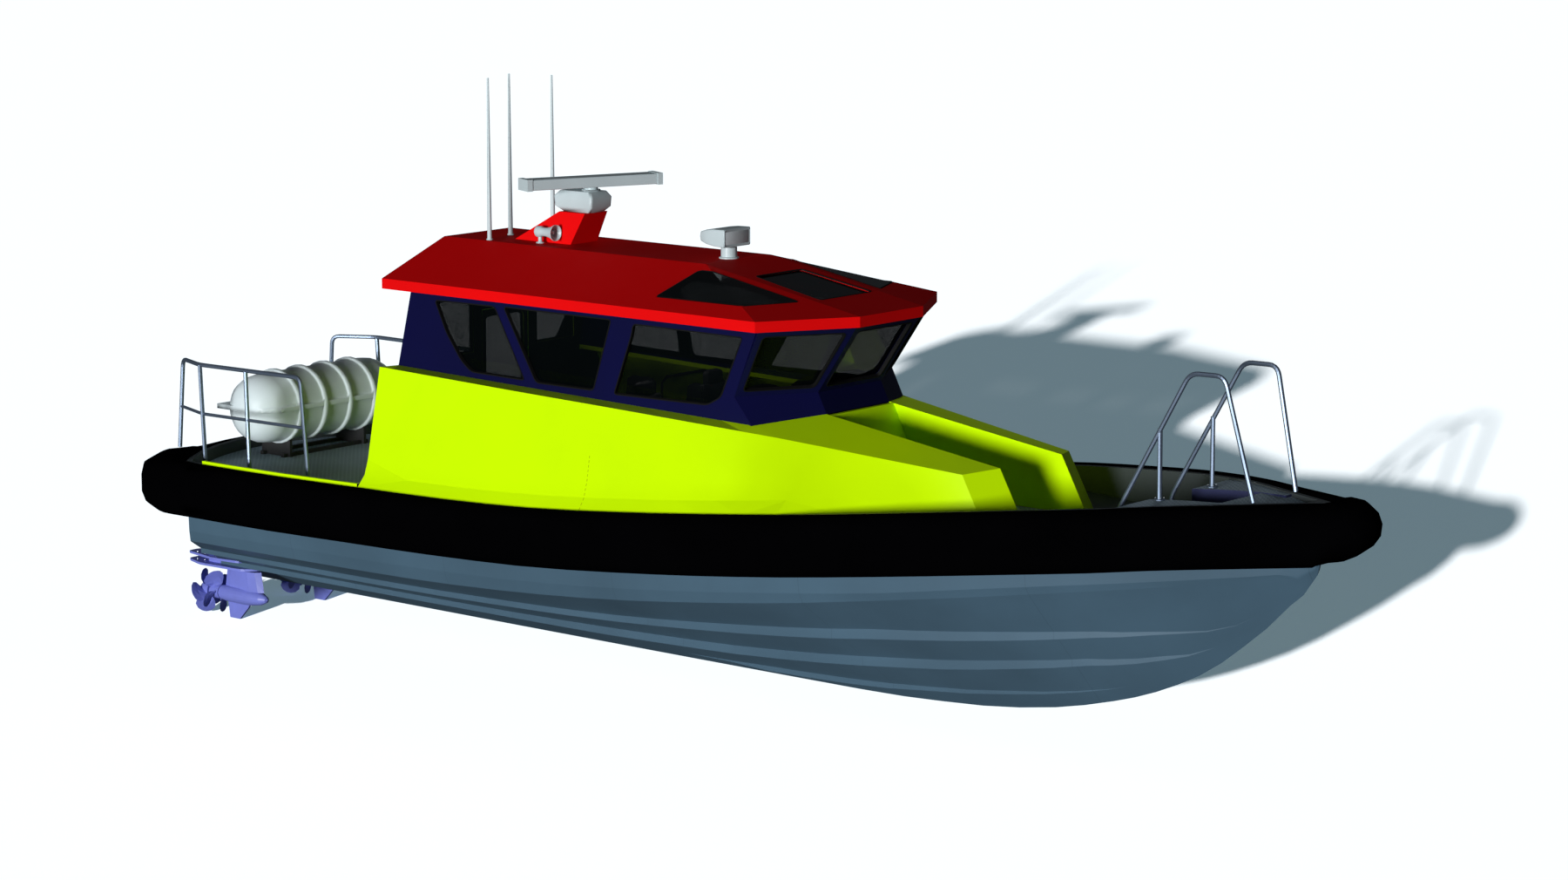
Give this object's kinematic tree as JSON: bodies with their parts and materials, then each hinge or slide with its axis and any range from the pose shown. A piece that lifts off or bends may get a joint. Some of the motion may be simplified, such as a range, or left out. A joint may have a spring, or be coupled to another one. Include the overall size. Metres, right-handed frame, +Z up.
{
  "type": "crew transfer vessel",
  "caption": "Planing workboat with foam collar, faceted roof cabin, side windows, bow and stern rails, roof radar, liferaft and twin turning drives.",
  "frame": {"origin": "on the centreline at the waterline, near mid length", "axes": "+X to the bow, +Y to port, +Z up"},
  "size_m": [15.437, 4.4212, 6.4064],
  "materials": {
    "hull": "satin blue-grey paint",
    "fender": "matt black foam collar skin",
    "lime": "yellow-green gloss paint",
    "navy": "dark blue paint",
    "red": "red paint",
    "deck": "non-slip deck panel",
    "steel": "brushed tube",
    "drive": "pale violet-blue paint",
    "pale": "light grey moulding",
    "glass": "dark tinted glass",
    "seat": "black seat cover",
    "black": "black console"
  },
  "bodies": {
    "boat": {"hull": "hull", "fender_collar": "fender", "fender_stern": "fender", "deck_edge_port": "lime", "deck_edge_starboard": "lime", "deckhouse_front": "lime", "deckhouse_side_port": "lime", "deckhouse_side_starboard": "lime", "aft_bulkhead": "lime", "wheelhouse_front": "navy", "wheelhouse_side_port": "navy", "wheelhouse_side_starboard": "navy", "roof": "red", "radar_pylon": "red", "aft_deck": "deck", "fore_deck": "deck", "bow_platform": "deck", "bow_rail_port": "steel", "bow_rail_starboard": "steel", "stern_rail_port": "steel", "stern_rail_starboard": "steel", "drive_mount_port": "drive", "drive_mount_starboard": "drive", "liferaft": "pale", "radar_gearbox": "pale", "horn": "pale", "searchlight_base": "pale", "aerial_centre": "pale", "aerial_port": "pale", "aerial_starboard": "pale", "windscreen_centre": "glass", "windscreen_port": "glass", "windscreen_starboard": "glass", "side_glass_port": "glass", "side_glass_starboard": "glass", "roof_glass_centre": "glass", "roof_glass_port": "glass", "roof_glass_starboard": "glass", "helm_seat_port": "seat", "helm_seat_starboard": "seat", "bench_port": "seat", "bench_starboard": "seat", "helm_console": "black", "raft_cradle": "black"},
    "radar_scanner": {"radar_scanner": "pale"},
    "searchlight_head": {"searchlight_head": "pale"},
    "aft_door": {"aft_door": "lime"},
    "drive_leg_port": {"drive_leg_port": "drive"},
    "propeller_front_port": {"propeller_front_port": "drive"},
    "propeller_rear_port": {"propeller_rear_port": "drive"},
    "drive_leg_starboard": {"drive_leg_starboard": "drive"},
    "propeller_front_starboard": {"propeller_front_starboard": "drive"},
    "propeller_rear_starboard": {"propeller_rear_starboard": "drive"}
  },
  "joints": [
    {"name": "radar_turn", "type": "hinge", "parent": "boat", "child": "radar_scanner", "pos_m": [-2.27, 0, 4.18], "axis": [0, 0, 1], "continuous": true},
    {"name": "searchlight_pan", "type": "hinge", "parent": "boat", "child": "searchlight_head", "pos_m": [-0.34, 0, 3.7044], "axis": [0, 0, 1], "range_deg": [-175, 175]},
    {"name": "door_swing", "type": "hinge", "parent": "boat", "child": "aft_door", "pos_m": [-3.61, 0.362, 1.9], "axis": [0, 0, -1], "range_deg": [0, 100]},
    {"name": "steer_port", "type": "hinge", "parent": "boat", "child": "drive_leg_port", "pos_m": [-7.05, 0.67, -0.5], "axis": [0, 0, 1], "range_deg": [-20, 20]},
    {"name": "front_propeller_port", "type": "hinge", "parent": "drive_leg_port", "child": "propeller_front_port", "pos_m": [-7.528, 0.67, -0.795], "axis": [1, 0, 0], "continuous": true},
    {"name": "rear_propeller_port", "type": "hinge", "parent": "drive_leg_port", "child": "propeller_rear_port", "pos_m": [-7.69, 0.67, -0.795], "axis": [1, 0, 0], "continuous": true},
    {"name": "steer_starboard", "type": "hinge", "parent": "boat", "child": "drive_leg_starboard", "pos_m": [-7.05, -0.67, -0.5], "axis": [0, 0, 1], "range_deg": [-20, 20]},
    {"name": "front_propeller_starboard", "type": "hinge", "parent": "drive_leg_starboard", "child": "propeller_front_starboard", "pos_m": [-7.528, -0.67, -0.795], "axis": [1, 0, 0], "continuous": true},
    {"name": "rear_propeller_starboard", "type": "hinge", "parent": "drive_leg_starboard", "child": "propeller_rear_starboard", "pos_m": [-7.69, -0.67, -0.795], "axis": [1, 0, 0], "continuous": true}
  ]
}
